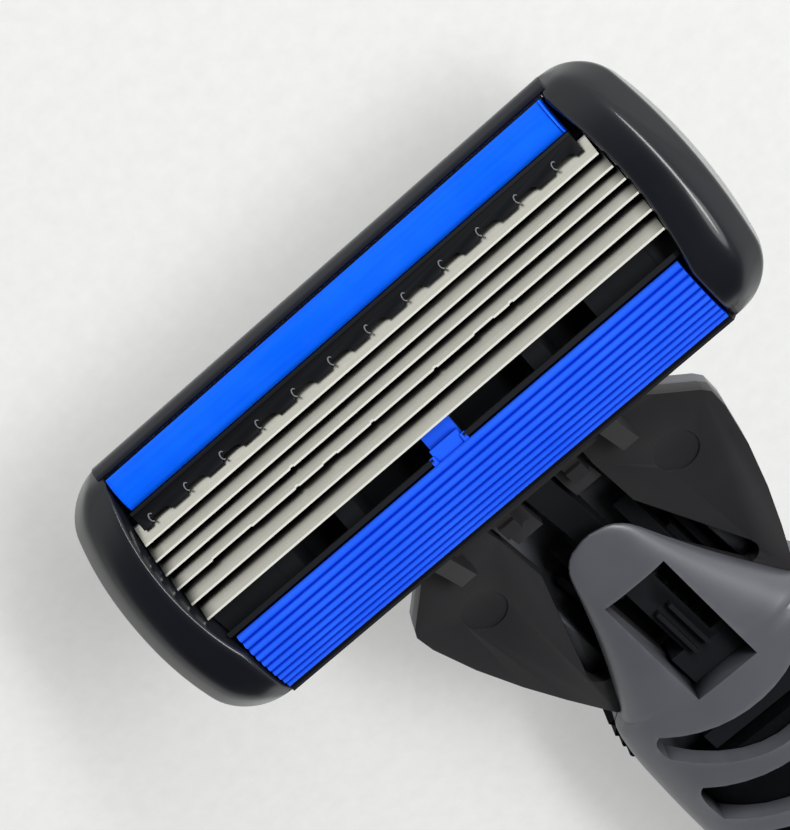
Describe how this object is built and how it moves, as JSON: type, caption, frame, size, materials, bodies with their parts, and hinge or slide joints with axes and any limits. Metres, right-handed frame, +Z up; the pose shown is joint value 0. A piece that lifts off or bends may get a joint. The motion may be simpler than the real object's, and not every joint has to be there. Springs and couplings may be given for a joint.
{
  "type": "cartridge razor",
  "caption": "Wet-shaving razor with a pivoting multi-blade cartridge, finned guard, winged docking head, thumb release and a long moulded handle.",
  "frame": {"origin": "middle of the bounding box seen from above, on the surface that the razor lies on with its blades up", "axes": "+X along the blades, +Y along the handle towards the head, +Z up out of the shaving side"},
  "size_m": [0.0418, 0.1416, 0.0189],
  "materials": {
    "satin_black": "satin moulded",
    "dark_plastic": "fine matte moulded",
    "wing_plastic": "satin moulded, brown-black",
    "handle_plastic": "soft sheen moulded",
    "black_rubber": "matte elastomer",
    "blue_rubber": "soft moulded elastomer",
    "blue_strip": "waxy lubricating polymer",
    "blade_steel": "coated, fine straight grain",
    "spring_steel": "drawn wire"
  },
  "bodies": {
    "handle": {"wing_plate": "wing_plastic", "wing_backing": "handle_plastic", "front_shell": "handle_plastic", "back_shell": "handle_plastic", "finger_insert": "black_rubber", "back_grip": "black_rubber", "chassis": "dark_plastic", "tail_cap": "handle_plastic", "side_grip_left": "black_rubber", "side_grip_right": "black_rubber", "plunger_spring": "spring_steel", "button_spring": "spring_steel"},
    "connector": {"connector_yoke": "wing_plastic"},
    "cartridge": {"front_frame": "satin_black", "cartridge_housing": "dark_plastic", "cap_comb": "dark_plastic", "lubricating_strip": "blue_strip", "guard_fins": "blue_rubber", "blade_1": "blade_steel", "blade_2": "blade_steel", "blade_3": "blade_steel", "blade_4": "blade_steel", "blade_5": "blade_steel", "blade_6": "blade_steel"},
    "plunger": {"pivot_plunger": "dark_plastic"},
    "button": {"release_button": "black_rubber", "ejector": "dark_plastic"}
  },
  "joints": [
    {"name": "cartridge_release", "type": "slide", "parent": "handle", "child": "connector", "axis": [0, 1, 0], "range_m": [0, 0.014]},
    {"name": "cartridge_pivot", "type": "hinge", "parent": "connector", "child": "cartridge", "pos_m": [0, 0.05535, 0.0131], "axis": [-1, 0, 0], "range_deg": [0, 35], "stiffness_Nm_per_rad": 0.006, "springref_deg": -20.05},
    {"name": "plunger_slide", "type": "slide", "parent": "handle", "child": "plunger", "axis": [0, 1, 0], "range_m": [-0.003, 0], "deforming": ["plunger_spring"]},
    {"name": "button_slide", "type": "slide", "parent": "handle", "child": "button", "axis": [0, 1, 0], "range_m": [0, 0.0035], "stiffness_N_per_m": 250, "springref_m": -0.003, "deforming": ["button_spring"]}
  ],
  "couplings": [
    {"joint": "plunger_slide", "follows": "cartridge_pivot", "m_per_rad": -0.0047}
  ]
}
